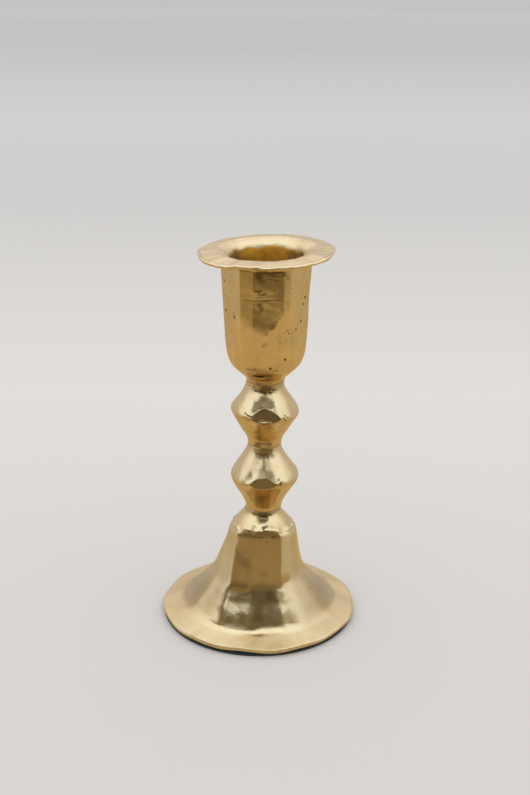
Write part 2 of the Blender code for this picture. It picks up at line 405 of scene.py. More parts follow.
def filed_end(angle, height):
    """How deep the front of the cup turns in below the V where its filed flats end."""
    tip, tip_height = -5, 99.8
    right_slope, left_slope = 0.285, -0.19
    depth, depth_reached = 0.80, 8.0
    off = apart(angle, tip)
    vee = tip_height + np.maximum(right_slope * off, left_slope * off) + 0.25 * np.sin(off / 3.0)
    below = np.maximum(vee - height, 0)
    front = 1 - step(np.abs(off), 40, 54)
    return depth * (1 - np.exp(-below / depth_reached)) * front


def dented_rim(rings, angle, height, radius, flange):
    """The rim knocked out of round and out of flat."""
    near_edge = step(radius, 15.0, RIM_RADIUS) * flange
    reach = 0.18 * ripple_round(angle, (3, 5, 7, 11), 21) + 0.05 * ripple_round(angle, (19, 26, 33, 41), 23)
    reach = reach + RIM_CORNER * hill_round(angle, -60, 18)
    reach = reach + 0.45 * (hill_round(angle, -120, 30) + hill_round(angle, 120, 30))
    lift = 0.08 * ripple_round(angle, (2, 3, 5, 8), 22) - 0.3 * hill_round(angle, -48, 28)
    lift = lift + 0.45 * step(angle, -38, -26) * (1 - step(angle, -9, -3))
    lift = lift + 0.045 * ripple_round(angle, (17, 23, 31, 37), 24)
    rings = scaled_round(rings, 1 + near_edge * reach / RIM_RADIUS)
    rings[..., 2] += near_edge * lift
    tilt = RIM_LIFT + RIM_SIDE_SLOPE * rings[..., 0] + RIM_BACK_SLOPE * rings[..., 1]
    rings[..., 2] += step(height, 121.5, 124.0) * tilt
    return rings


def cup_hand_work(rings, angle, height, radius, zone):
    """The rings with flat sides, dimples and a dented rim, and the normals of the flat-sided cup."""
    flats = faceted(angle, step(height, 88.0, 121.0), CUP_EDGES, 0.011)
    amount = zone("wall") * step(height, 84.5, 95.0)
    rings = scaled_round(rings, 1 - amount * (1 - flats))
    skin = normals_of(rings)
    dimple = ripples(rings, (0.06, 14.0, 15), (0.014, 6.0, 11), (0.006, 2.6, 12))
    rings = raised(rings, skin, (dimple - filed_end(angle, height)) * amount)
    beats = ripples(rings, (0.035, 3.0, 14), (0.02, 1.3, 17))
    fade = 1 - 0.5 * step(radius, 15.5, 18.5)
    relief = 0.06 * ripple(rings, 9.0, 13) + beats * (zone("lip") + zone("upper", "edge") * fade)
    rings = raised(rings, skin, zone("lip", "upper", "edge", "under") * relief)
    return dented_rim(rings, angle, height, radius, zone("upper", "edge", "under")), skin


def cup_dirt_and_shade(rings, angle, height, zone, bottom):
    """The soil and painted shade on the cup, the depth of its marks, and where its dull orange inside is."""
    wall = zone("wall")
    soil_and_shade = 0.35 * hill(height, bottom, 0.8) * wall
    soil_and_shade = np.maximum(soil_and_shade, 0.05 * step(ripple(rings, 3.4, 61), 0.1, 1.5) * wall)
    torn = height + 0.22 * ripple(rings, 5.0, 63)
    inside = zone("socket", "floor") + zone("lip") * (1 - step(torn, 122.9, 124.6))
    # painted shade inside the socket: darker towards its sides and near its top, broken up by random
    # blotches
    sides = step(np.abs(apart(angle, 180)), 22, 60)
    socket_shade = 0.45 * sides + 0.12 * step(ripple(rings, 3.2, 62), -0.4, 1.4) + 0.12 * step(height, 118.0, 122.0)
    soil_and_shade = np.maximum(soil_and_shade, inside * socket_shade)
    soil_and_shade = np.maximum(soil_and_shade, 0.08 * hill_round(angle, 85, 45) * zone("upper"))
    depth = np.zeros_like(height)
    for facing, up, wide, tall, dark in CUP_PITS:
        pit = mark(rings, angle, facing, up, PIT_CORE * wide, PIT_CORE * tall) * wall
        soil_and_shade = np.maximum(soil_and_shade, dark * pit)
        depth = np.maximum(depth, PIT_DEPTH * pit)
    soil_and_shade = marked_dark(soil_and_shade, rings, angle, CUP_DARK_MARKS, wall)
    scratch = mark(rings, angle, -6.5, 113.5 + 0.01 * apart(angle, 0), 6.6, 0.17) * wall
    # a dented slit at the neck, with its shade painted black into it
    shaded_slit = 1.3 * mark(rings, angle, -14, 86.9, 2.0, 0.7) * wall
    # painted shadow: a soft dark patch round the slit
    crescent_shadow = mark(rings, angle, -13, 86.6, 5.2, 3.9) * wall
    soil_and_shade = np.maximum.reduce([soil_and_shade, 0.6 * scratch, shaded_slit, 0.22 * crescent_shadow])
    depth = np.maximum.reduce([depth, 0.015 * scratch, 0.5 * shaded_slit])
    return soil_and_shade, depth, inside


def cup():
    bottom = heights("candle_cup")[0]
    points, zones = cup_outline(bottom - SEAM)
    rings, angle = grid(points, CUP_POINTS)
    height = rings[..., 2].copy()
    radius = np.hypot(rings[..., 0], rings[..., 1])
    zone = zone_picker(zones, height)
    rings, skin = cup_hand_work(rings, angle, height, radius, zone)
    soil_and_shade, depth, inside = cup_dirt_and_shade(rings, angle, height, zone, bottom)
    rings = raised(rings, skin, -depth)
    satin = np.maximum.reduce([1.6 * inside, 0.25 * zone("lip"), 0.35 * zone("upper")])
    made = mesh_of("hammered_cup", rings, False, axis_of("candle_cup"), {"soil_and_shade": soil_and_shade, "satin": satin})
    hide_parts("candle_cup")
    return made


def knop(name, node, ends, above, below, shape):
    """A double cone: ends are its radii at the top and bottom seam, above and below its points to the ridge.

    shape(rings, angle, shows) does the hand work and gives the new rings and their soil and painted shade.
    """
    bottom, top = heights(node)
    bottom -= SEAM
    top += SEAM
    high, low = ends
    points, zones = outline(
        ("cone", curve([(high, top), *above]), TIGHT),
        ("cone", curve([*below, (low, bottom)]), TIGHT),
        ("seat", line((low, bottom), (HOLE, bottom)), SEAT_GAP),
        ("bore", line((HOLE, bottom), (HOLE, top)), COARSE),
        ("seat", line((HOLE, top), (high, top)), SEAT_GAP),
    )
    points, zones = points[:-1], zones[:-1]
    rings, angle = grid(points, KNOP_POINTS)
    shows = (zones == "cone")[:, None] * np.ones(rings.shape[:2])
    rings, soil_and_shade = shape(rings, angle, shows)
    near_seams = np.maximum(hill(rings[..., 2], bottom, 0.5), hill(rings[..., 2], top, 0.5))
    soil_and_shade = np.maximum(soil_and_shade, 0.3 * near_seams) * shows
    made = mesh_of(name, rings, True, axis_of(node), {"soil_and_shade": soil_and_shade, "satin": 0 * soil_and_shade})
    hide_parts(node)
    return made


def ridge_masks(height, ridge, shows):
    """Two masks of a knop: its ridge, softly, and the cones next to the ridge."""
    away = np.abs(height - ridge[1])
    return hill(height, ridge[1], 3.5) * shows, shows * step(8.0 - away, 0.0, 3.0)


def worn_ridge(rings, angle, middle, limit, tilt, wave, seed):
    """The ridge out of level and out of round, and worn round at limit, more so at the sides."""
    rings[..., 2] += middle * (tilt * rings[..., 0] + wave * ripple_round(angle, (6, 9, 14), seed + 1))
    rings = scaled_round(rings, 1 + 0.012 * ripple_round(angle, (3, 5, 8, 13), seed) * middle)
    side = 1 - hill_round(angle, 0, 48)
    return rounded(rings, limit - 0.35 * side, 0.08 + 0.30 * side)


def bruised(rings, near, spot, bruises, soft=0.12):
    """The ridge with flats knocked into it, each (degrees round, lean, depth) at the same spot."""
    for facing, lean, depth in bruises:
        rings = flatten(rings, near, spot, facing, lean, depth, soft)
    return rings


# degrees round, height, width and height of the mark
UPPER_KNOP_SPOTS = (
    (33, 73.3, 0.5, 0.2), (37, 73.9, 0.2, 0.35), (41, 73.2, 0.2, 0.3), (36, 72.6, 0.45, 0.18),
    (9, 81.0, 0.3, 0.3), (20, 81.6, 0.25, 0.2), (34, 81.4, 0.4, 0.2), (2, 72.0, 1.6, 0.14),
)


def upper_knop():
    ridge = (11.55, 73.2)
    above = [(6.5, 81.0), (7.8, 78.6), (9.7, 75.9), ridge]
    below = [ridge, (9.6, 69.9), (7.5, 66.6), (5.9, 64.0)]

    def shape(rings, angle, shows):
        height = rings[..., 2].copy()
        middle, near = ridge_masks(height, ridge, shows)
        rings = worn_ridge(rings, angle, middle, 11.45, -0.045, 0.12, 31)
        rings = bruised(rings, near, ridge, [(2, 18, 1.15)], 0.04)
        sides = [(96, -2, 0.25), (150, 5, 0.6), (-140, 10, 0.5), (-110, -8, 0.4)]
        rings = bruised(rings, near, ridge, sides)
        skin = normals_of(rings)
        burr = mark(rings, angle, 4, 72.2, 1.6, 0.35) - mark(rings, angle, -4, 72.7, 1.2, 0.3)
        relief = ripples(rings, (0.05, 9.0, 33), (0.012, 3.0, 34)) + 0.10 * burr
        crack = mark(rings, angle, -27, 74.2, 2.0, 0.16, -14)
        crack = crack + 0.7 * mark(rings, angle, -36, 74.9, 0.35, 0.25)
        spots = np.maximum.reduce([mark(rings, angle, *spot) for spot in UPPER_KNOP_SPOTS])
        torn = np.clip(np.maximum(crack, spots), 0, 1) * shows
        rings = raised(rings, skin, shows * relief - 0.18 * torn)
        # thin turning lines on the lower cone, and painted shade at the waist below it, broken up at random;
        # near the top a dark patch at the front and dark blotches
        bands = hill(height, 67.8, 0.35) + hill(height, 65.4, 0.5) + 3.0 * hill(height, 62.8, 0.9)
        smear_and_shade = 0.16 * bands * step(ripple(rings, 5.0, 36), -1.2, 0.6)
        smear_and_shade = smear_and_shade + 0.35 * mark(rings, angle, 5, 81.6, 2.6, 1.2)
        smear_and_shade = smear_and_shade + 0.25 * step(ripple(rings, 2.4, 35), 0.6, 1.6) * step(height, 79.5, 81.5)
        return rings, np.maximum(0.9 * torn, smear_and_shade * shows)

    return knop("bruised_upper_knop", "upper_knop", (6.1, 5.4), above, below, shape)


def lower_knop():
    ridge = (11.85, 50.4)
    above = [(6.0, 59.3), (7.5, 56.8), (9.6, 53.7), ridge]
    below = [ridge, (9.8, 47.0), (7.5, 43.4), (6.2, 40.6)]

    def shape(rings, angle, shows):
        height = rings[..., 2].copy()
        middle, near = ridge_masks(height, ridge, shows)
        rings = worn_ridge(rings, angle, middle, 11.75, 0.02, 0.10, 41)
        rings[..., 0] += 0.3 * middle
        rings = bruised(rings, near, (11.5, 50.7), [(-4, 17, 0.62)], 0.03)
        sides = [(92, 0, 0.12), (155, -5, 0.6), (-150, 8, 0.5), (-112, 4, 0.4)]
        rings = bruised(rings, near, (11.5, 50.4), sides)
        skin = normals_of(rings)
        relief = ripples(rings, (0.05, 9.0, 43), (0.012, 3.0, 44))
        mottle = mark(rings, angle, 25, 51.4, 1.5, 1.1) * step(ripple(rings, 1.6, 45), 0.0, 1.0) * shows
        rings = raised(rings, skin, shows * relief - 0.08 * mottle)
        # thin turning lines on the lower cone, and faint painted shade at the waist where it enters the foot
        bands = hill(height, 45.6, 0.3) + hill(height, 43.5, 0.45) + 1.3 * hill(height, 40.3, 1.0)
        smear_and_shade = 0.05 * bands * step(ripple(rings, 5.0, 46), -1.2, 0.6) * shows
        return rings, np.maximum(0.6 * mottle, smear_and_shade)

    return knop("bruised_lower_knop", "lower_knop", (5.3, 5.8), above, below, shape)


BELL_TOP = (10.4, 33.8)       # the corner between crown and bell
RIDGE_HEIGHT = 33.7           # where that corner is ragged
BELL_FOOT = (24.0, 6.0)
FLANGE_EDGE = (31.9, 2.8)
FLANGE_RADIUS = 32.6
CROWN_SEAT = 5.75             # radius of the crown under the lower knop
REBATE = (27.4, 3.0)          # the inner corner of the rebate for the board
HOLLOW_MOUTH = (23.4, 3.0)
HOLLOW_SHOULDER = (9.1, 28.4)
HOLLOW_TOP = (8.7, 31.0)
FOOT_OUTSIDE = ("crown", "bell", "flange", "edge")

# on the bell: degrees round, height, width and height of the mark, how dark
BELL_STAINS = (
    (-35, 32.6, 0.9, 0.3, 0.4), (-3, 31.9, 1.2, 0.35, 0.3), (20, 31.6, 0.9, 0.4, 0.35),
    (8, 30.2, 0.6, 0.5, 0.25), (14, 13.5, 1.6, 1.2, 0.2), (-22, 24.0, 1.2, 0.6, 0.15),
    (6, 20.0, 1.5, 0.7, 0.15),
)


def foot_outline(bottom, top):
    seat = (CROWN_SEAT, top + SEAM)
    heel = (32.2, bottom - 0.15)
    shoulders = [(6.15, 37.5), (6.75, 36.8), (7.7, 36.0), (8.9, 35.1)]
    flare = [(11.2, 31.6), (12.15, 27.0), (13.4, 22.4), (15.5, 16.4), (18.5, 12.2), (21.5, 8.9)]
    points, zones = outline(
        ("crown", curve([seat, *shoulders, BELL_TOP]), FINE),
        ("bell", curve([BELL_TOP, *flare, BELL_FOOT]), FINE),
        ("flange", curve([BELL_FOOT, (25.3, 4.7), (26.7, 3.95), (29.2, 3.35), FLANGE_EDGE]), FINE),
        ("edge", curve([FLANGE_EDGE, (32.45, 2.4), (32.55, 1.8), heel]), TIGHT),
        ("under", line(heel, (REBATE[0], bottom)), COARSE),
        ("under", line((REBATE[0], bottom), REBATE), COARSE),
        ("under", line(REBATE, HOLLOW_MOUTH), COARSE),
        ("hollow", curve([HOLLOW_MOUTH, (16.7, 8.4), (12.9, 14.6), (10.5, 22.0), HOLLOW_SHOULDER]), COARSE),
        ("hollow", line(HOLLOW_SHOULDER, HOLLOW_TOP), COARSE),
        ("hollow", line(HOLLOW_TOP, (HOLE, HOLLOW_TOP[1])), COARSE),
        ("bore", line((HOLE, HOLLOW_TOP[1]), (HOLE, top + SEAM)), COARSE),
        ("seat", line((HOLE, top + SEAM), seat), SEAT_GAP),
    )
    return points[:-1], zones[:-1]


def foot_hand_work(rings, angle, height, radius, zone):
    """The rings with the bell's flat sides and ragged ridge, its dimples and the wavy flange."""
    flats = faceted(angle, step(height, 6.0, 33.0), BELL_EDGES, 0.020)
    reach = 23.8 + 1.2 * hill_round(angle, -24, 16)
    amount = zone("bell", "crown", "flange") * (1 - step(radius, reach, reach + 3.2))
    amount = amount * (1 - step(height, BELL_TOP[1], 36.2))
    front = 1 - 0.7 * step(np.abs(apart(angle, -9)), 50, 75)
    rings = scaled_round(rings, 1 - 0.85 * amount * front * (1 - flats))
    skin = normals_of(rings)
    dimple = ripples(rings, (0.07, 13.0, 54), (0.012, 5.0, 55))
    rings = raised(rings, skin, zone(*FOOT_OUTSIDE) * (1 - zone("edge") * 0.6) * dimple)
    burr = hill(height, RIDGE_HEIGHT, 0.35) * (0.5 + 0.5 * ripple(rings, 2.2, 57)) * zone("crown", "bell")
    rings = raised(rings, skin, 0.12 * burr)
    wavy = zone("flange", "edge") * step(radius, 25.0, 29.0)
    rings[..., 2] += wavy * 0.12 * ripple_round(angle, (5, 9, 12), 51)
    outer = step(radius, 28.0, 32.5) * (1 - zone("hollow"))
    out_of_round = 0.2 * ripple_round(angle, (2, 3, 5, 7, 11), 53)
    rings = scaled_round(rings, 1 + outer * out_of_round / FLANGE_RADIUS)
    lower_at_sides = -1.3 * step(np.abs(apart(angle, -8)), 15, 75) * hill(height, RIDGE_HEIGHT, 2.2)
    torn = 0.16 * ripple_round(angle, (6, 9, 13, 21), 56) - 0.8 * hill_round(angle, 44, 8)
    rings[..., 2] += zone("crown", "bell") * (lower_at_sides + torn * hill(height, RIDGE_HEIGHT, 0.9))
    rings[..., 0] += 1.2 * step(height, 16.0, 30.0)
    return rings


# the soil of the foot, with painted shade and painted shadow in it
def foot_dirt_and_shade(rings, angle, height, radius, zone, top):
    soil_and_shade = 0.4 * hill(height, top, 0.6) * zone("crown")
    # painted shadow at the front of the crown, under the lower knop
    soil_and_shade = np.maximum(soil_and_shade, 0.75 * mark(rings, angle, 2, 36.9, 2.0, 1.1) * zone("crown"))
    soil_and_shade = marked_dark(soil_and_shade, rings, angle, BELL_STAINS, zone("bell", "flange"))
    # painted shade: the lower bell and the flange darker towards the sides, away from the front
    sides = step(np.abs(apart(angle, -8)), 28, 60) * hill(height, 9.0, 7.0)
    soil_and_shade = np.maximum(soil_and_shade, 0.30 * sides * zone("bell", "flange"))
    soil_and_shade = np.maximum(soil_and_shade, 0.14 * step(np.abs(apart(angle, 0)), 40, 80) * zone("flange"))
    soil_and_shade = np.maximum(soil_and_shade, 0.30 * hill_round(angle, -50, 16) * hill(height, 11.0, 6.0) * zone("bell"))
    cloudy = step(ripple(rings, 7.0, 58), 0.0, 1.4) * step(radius, 28.0, 29.5)
    return np.maximum(soil_and_shade, 0.09 * cloudy * zone(*FOOT_OUTSIDE))


def foot():
    bottom, top = heights("foot")
    points, zones = foot_outline(bottom, top)
    rings, angle = grid(points, FOOT_POINTS)
    height = rings[..., 2].copy()
    radius = np.hypot(rings[..., 0], rings[..., 1])
    zone = zone_picker(zones, height)
    rings = foot_hand_work(rings, angle, height, radius, zone)
    soil_and_shade = foot_dirt_and_shade(rings, angle, height, radius, zone, top)
    satin = 0.75 * step(radius, 25.6, 27.4) * zone(*FOOT_OUTSIDE)
    made = mesh_of("hammered_foot", rings, True, axis_of("foot"), {"soil_and_shade": soil_and_shade, "satin": satin})
    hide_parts("foot")
    return made


FELT_RADIUS = 32.1


def felt():
    bottom, top = heights("base_felt")
    shoulder = (FELT_RADIUS - 0.3, top)
    heel = (FELT_RADIUS - 0.25, bottom)
    cut = curve([shoulder, (FELT_RADIUS, top - 0.35), (FELT_RADIUS, bottom + 0.3), heel])
    points, _ = outline(
        ("top", line((0, top), shoulder), COARSE),
        ("edge", cut, TIGHT),
        ("under", line(heel, (0, bottom)), COARSE),
    )
    rings, _ = grid(points, FELT_POINTS)
    made = mesh_of("felt_disc", rings, False, axis_of("base_felt"), {})
    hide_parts("base_felt")
    return made


# ---------------------------------------------------------------- materials

def new_material(name):
    made = bpy.data.materials.new(name)
    made.use_nodes = True
    nodes = made.node_tree.nodes
    return made, made.node_tree, nodes["Principled BSDF"]


def noise(tree, vector, scale, detail=3.0):
    node = tree.nodes.new("ShaderNodeTexNoise")
    node.inputs["Scale"].default_value = scale
    node.inputs["Detail"].default_value = detail
    tree.links.new(vector, node.inputs["Vector"])
    return node.outputs["Fac"]


def remap(tree, value, low, high, to_low, to_high):
    node = tree.nodes.new("ShaderNodeMapRange")
    node.inputs["From Min"].default_value = low
    node.inputs["From Max"].default_value = high
    node.inputs["To Min"].default_value = to_low
    node.inputs["To Max"].default_value = to_high
    tree.links.new(value, node.inputs["Value"])
    return node.outputs["Result"]


def mixed(tree, factor, first, second):
    """A colour between two, each a colour or a socket."""
    node = tree.nodes.new("ShaderNodeMix")
    node.data_type = "RGBA"
    tree.links.new(factor, node.inputs["Factor"])
    for socket, value in ((node.inputs[6], first), (node.inputs[7], second)):
        if isinstance(value, bpy.types.NodeSocket):
            tree.links.new(value, socket)
        else:
            socket.default_value = (*value, 1.0)
    return node.outputs[2]


def bump(tree, height, strength, distance):
    node = tree.nodes.new("ShaderNodeBump")
    node.inputs["Strength"].default_value = strength
    node.inputs["Distance"].default_value = distance
    tree.links.new(height, node.inputs["Height"])
    return node.outputs["Normal"]


def ramp_of(tree, value, stops):
    """A colour ramp over value with stops (position, colour)."""
    node = tree.nodes.new("ShaderNodeValToRGB")
    tree.links.new(value, node.inputs["Fac"])
    elements = node.color_ramp.elements
    elements[0].position = stops[0][0]
    elements[1].position = stops[-1][0]
    for position, _ in stops[1:-1]:
        elements.new(position)
    for element, (_, colour) in zip(elements, stops):
        element.color = (*colour, 1.0)
    return node.outputs["Color"]


def object_place(tree):
    return tree.nodes.new("ShaderNodeTexCoord").outputs["Object"]


BRASS = (0.78, 0.605, 0.325)
DEEP_BRASS = (0.70, 0.49, 0.22)
TARNISH = (0.20, 0.125, 0.05)
BLACK_DIRT = (0.03, 0.018, 0.008)
ORANGE_BRASS = (0.86, 0.46, 0.05)
BRASS_ROUGHNESS = (0.15, 0.24)
SATIN_ROUGHNESS = 0.33       # added where a mesh's satin field is 1


def brass(name):
    """Polished brass: a mesh's soil field, dirt and painted shade alike, darkens it; its satin field makes
    it duller and, past 0.9, orange.
    """
    made, tree, shader = new_material(name)
    place = object_place(tree)
    soil_and_shade = tree.nodes.new("ShaderNodeAttribute")
    soil_and_shade.attribute_name = "soil_and_shade"
    clouds = noise(tree, place, 160.0, 4.0)
    specks = noise(tree, place, 900.0, 3.0)
    colour = mixed(tree, remap(tree, clouds, 0.42, 0.72, 0.0, 0.45), BRASS, DEEP_BRASS)
    colour = mixed(tree, remap(tree, specks, 0.70, 0.78, 0.0, 0.5), colour, TARNISH)
    smudge = noise(tree, place, 320.0, 5.0)
    satin = tree.nodes.new("ShaderNodeAttribute")
    satin.attribute_name = "satin"
    duller = tree.nodes.new("ShaderNodeMath")
    duller.operation = "MULTIPLY_ADD"
    duller.inputs[1].default_value = SATIN_ROUGHNESS
    tree.links.new(satin.outputs["Fac"], duller.inputs[0])
    tree.links.new(remap(tree, smudge, 0.35, 0.70, *BRASS_ROUGHNESS), duller.inputs[2])
    tree.links.new(duller.outputs["Value"], shader.inputs["Roughness"])
    inside = remap(tree, satin.outputs["Fac"], 0.9, 1.5, 0.0, 1.0)
    colour = mixed(tree, inside, colour, ORANGE_BRASS)
    colour = mixed(tree, remap(tree, soil_and_shade.outputs["Fac"], 0.0, 0.8, 0.0, 1.0), colour, TARNISH)
    colour = mixed(tree, remap(tree, soil_and_shade.outputs["Fac"], 0.75, 1.0, 0.0, 0.9), colour, BLACK_DIRT)
    tree.links.new(colour, shader.inputs["Base Color"])
    shader.inputs["Metallic"].default_value = 1.0
    grain = bump(tree, noise(tree, place, 1400.0, 4.0), 0.10, 0.0002)
    tree.links.new(grain, shader.inputs["Normal"])
    return made


def steel(name, colour, roughness):
    made, tree, shader = new_material(name)
    place = object_place(tree)
    dull = noise(tree, place, 500.0, 4.0)
    tint = mixed(tree, remap(tree, dull, 0.35, 0.7, 0.0, 1.0), colour, tuple(c * 0.75 for c in colour))
    tree.links.new(tint, shader.inputs["Base Color"])
    uneven = remap(tree, dull, 0.3, 0.7, roughness - 0.08, roughness + 0.08)
    tree.links.new(uneven, shader.inputs["Roughness"])
    shader.inputs["Metallic"].default_value = 1.0
    tree.links.new(bump(tree, noise(tree, place, 3000.0), 0.15, 0.0001), shader.inputs["Normal"])
    return made


def felt_material():
    made, tree, shader = new_material("green_felt")
    place = object_place(tree)
    fibres = noise(tree, place, 2600.0, 6.0)
    share = remap(tree, fibres, 0.35, 0.65, 0.0, 1.0)
    colour = mixed(tree, share, (0.002, 0.008, 0.004), (0.007, 0.020, 0.012))
    tree.links.new(colour, shader.inputs["Base Color"])
    shader.inputs["Roughness"].default_value = 1.0
    shader.inputs["Sheen Weight"].default_value = 0.25
    tree.links.new(bump(tree, fibres, 0.6, 0.0004), shader.inputs["Normal"])
    return made


def board_material():
    made, tree, shader = new_material("grey_board")
    place = object_place(tree)
    pulp = noise(tree, place, 1200.0, 6.0)
    colour = mixed(tree, remap(tree, pulp, 0.35, 0.65, 0.0, 1.0), (0.30, 0.27, 0.23), (0.42, 0.39, 0.34))
    tree.links.new(colour, shader.inputs["Base Color"])
    shader.inputs["Roughness"].default_value = 0.9
    tree.links.new(bump(tree, pulp, 0.4, 0.0003), shader.inputs["Normal"])
    return made


def wear(made, material):
    made.data.materials.clear()
    made.data.materials.append(material)


# ---------------------------------------------------------------- stage and light

def emission(name, colour):
    made = bpy.data.materials.new(name)
    made.use_nodes = True
    tree = made.node_tree
    tree.nodes.clear()
    glow = tree.nodes.new("ShaderNodeEmission")
    glow.inputs["Color"].default_value = (*colour, 1.0)
    glow.inputs["Strength"].default_value = 1.0
    out = tree.nodes.new("ShaderNodeOutputMaterial")
    tree.links.new(glow.outputs["Emission"], out.inputs["Surface"])
    return made


def repaint(card, colour):
    """Gives a reflected card its colour from a socket in its own material."""
    tree = card.data.materials[0].node_tree
    tree.links.new(colour, tree.nodes["Emission"].inputs["Color"])


CARD_AWAY = 0.120      # how far the cards stand from the object's axis, metres
NEAR_CARD_AWAY = 0.050
SITTER_AWAY = 0.240


def reflected(name, vertices, faces, colour=(0.5, 0.5, 0.5)):
    """A glowing card that shows only in reflections, and neither lights nor shades the floor.

    The colour is a stand-in on a card that is repainted.
    """
    mesh = bpy.data.meshes.new(name)
    mesh.from_pydata(vertices, [], faces)
    card = bpy.data.objects.new(name, mesh)
    bpy.context.scene.collection.objects.link(card)
    mesh.materials.append(emission(name, colour))
    card.visible_camera = False
    card.visible_diffuse = False
    card.visible_shadow = False
    card.visible_transmission = False
    return card


def reflected_card(name, low, tops, start, end, colour, radius=CARD_AWAY):
    """A curved upright card from start to end degrees round; tops are its heights at both ends."""
    angle = radians_round(np.linspace(start, end, 40))
    circle = np.column_stack([radius * np.cos(angle), radius * np.sin(angle)])
    count = len(circle)
    lower = np.column_stack([circle, np.full(count, low)])
    upper = np.column_stack([circle, np.linspace(*tops, count)])
    vertices = np.vstack([lower, upper]).tolist()
    faces = [(i, i + 1, count + i + 1, count + i) for i in range(count - 1)]
    return reflected(name, vertices, faces, colour)


# the floor's colour from in front of the object to far behind it, with painted light and shade: brightest
# just behind the object, darker far behind
FLOOR_FALLOFF = (
    (0.0, (0.645, 0.572, 0.465)),
    (0.15, (0.700, 0.628, 0.517)),
    (0.32, (0.583, 0.527, 0.440)),
    (0.50, (0.600, 0.545, 0.458)),
    (0.86, (0.515, 0.470, 0.398)),
)


def make_floor():
    mesh = bpy.data.meshes.new("floor")
    reach = 3.5
    square = [(-reach, -reach, 0), (reach, -reach, 0), (reach, reach, 0), (-reach, reach, 0)]
    mesh.from_pydata(square, [], [(0, 1, 2, 3)])
    floor = bpy.data.objects.new("floor", mesh)
    bpy.context.scene.collection.objects.link(floor)
    made, tree, shader = new_material("pale_paper")
    place = object_place(tree)
    split = tree.nodes.new("ShaderNodeSeparateXYZ")
    tree.links.new(place, split.inputs["Vector"])
    # painted light and shade: the floor's colour falls off with distance behind the object
    ramp = ramp_of(tree, remap(tree, split.outputs["Y"], -0.2, 2.6, 0.0, 1.0), FLOOR_FALLOFF)
    clouds = noise(tree, place, 3.0, 3.0)
    colour = mixed(tree, remap(tree, clouds, 0.3, 0.7, 0.0, 0.04), ramp, (0.50, 0.43, 0.34))
    tree.links.new(colour, shader.inputs["Base Color"])
    shader.inputs["Roughness"].default_value = 0.95
    shader.inputs["Specular IOR Level"].default_value = 0.1
    mesh.materials.append(made)


BACKDROP = (0.55, 0.545, 0.535)

# the sky's colour from the horizon, at 0.5, to straight up, at 1
SIDE_SKY = (
    (0.50, (0.60, 0.60, 0.60)),
    (0.545, (0.72, 0.72, 0.75)),
    (0.63, (0.92, 0.97, 1.10)),
    (0.75, (1.07, 1.17, 1.38)),
    (1.0, (1.22, 1.38, 1.68)),
)
BACK_SKY = (
    (0.50, (0.58, 0.58, 0.58)),
    (0.545, (0.60, 0.58, 0.58)),
    (0.615, (0.63, 0.61, 0.63)),
    (0.69, (0.82, 0.80, 0.84)),
    (0.76, (1.04, 1.02, 1.08)),
    (0.85, (1.14, 1.21, 1.44)),
    (1.0, (1.22, 1.38, 1.68)),
)


def make_world():
    """A soft sky that lights the object, and a plain backdrop for the camera."""
    world = bpy.data.worlds.new("studio")
    bpy.context.scene.world = world
    world.use_nodes = True
    tree = world.node_tree
    tree.nodes.clear()
    where = tree.nodes.new("ShaderNodeTexCoord").outputs["Generated"]
    split = tree.nodes.new("ShaderNodeSeparateXYZ")
    tree.links.new(where, split.inputs["Vector"])
    height = remap(tree, split.outputs["Z"], -1.0, 1.0, 0.0, 1.0)
    behind = remap(tree, split.outputs["Y"], 0.0, 0.4, 0.0, 1.0)
    sky = mixed(tree, behind, ramp_of(tree, height, SIDE_SKY), ramp_of(tree, height, BACK_SKY))
    lit = tree.nodes.new("ShaderNodeBackground")
    tree.links.new(sky, lit.inputs["Color"])
    seen = tree.nodes.new("ShaderNodeBackground")
    seen.inputs["Color"].default_value = (*BACKDROP, 1.0)
    path = tree.nodes.new("ShaderNodeLightPath")
    mix = tree.nodes.new("ShaderNodeMixShader")
    out = tree.nodes.new("ShaderNodeOutputWorld")
    tree.links.new(path.outputs["Is Camera Ray"], mix.inputs["Fac"])
    tree.links.new(lit.outputs["Background"], mix.inputs[1])
    tree.links.new(seen.outputs["Background"], mix.inputs[2])
    tree.links.new(mix.outputs["Shader"], out.inputs["Surface"])


# the table in the brass, from seen square on, at 0, to seen at a slant, at 1
TABLE_SEEN = (
    (0.0, (0.56, 0.42, 0.222)),
    (0.45, (0.57, 0.43, 0.23)),
    (0.58, (0.64, 0.495, 0.27)),
    (0.67, (0.55, 0.46, 0.31)),
    (0.78, (0.54, 0.49, 0.40)),
    (0.88, (0.60, 0.58, 0.57)),
    (1.0, (0.62, 0.60, 0.60)),
)


def make_table_seen():
    """What the brass shows of the table: a ring warm from above and pale at a slant."""
    inner, outer, lift = 0.0335, 3.0, 0.0004
    angle = np.linspace(0, 2 * math.pi, 73)
    vertices = [(r * math.cos(a), r * math.sin(a), lift) for r in (inner, outer) for a in angle]
    count = len(angle)
    faces = [(i, count + i, count + i + 1, i + 1) for i in range(count - 1)]
    card = reflected("table_seen", vertices, faces)
    tree = card.data.materials[0].node_tree
    slant = tree.nodes.new("ShaderNodeLayerWeight")
    repaint(card, ramp_of(tree, slant.outputs["Facing"], TABLE_SEEN))


DARK_CORE = (0.175, 0.125, 0.05)
DARK_WING = (0.37, 0.27, 0.125)
DARK_RIGHT = (0.47, 0.365, 0.20)
DARK_HEAD = (0.13, 0.11, 0.065)
NEAR_BLOCK = (0.090, 0.070, 0.036)
PALE_NECK = (0.42, 0.38, 0.29)
DARK_BODY = (0.165, 0.13, 0.065)

SITTER_FOOT = 0.005

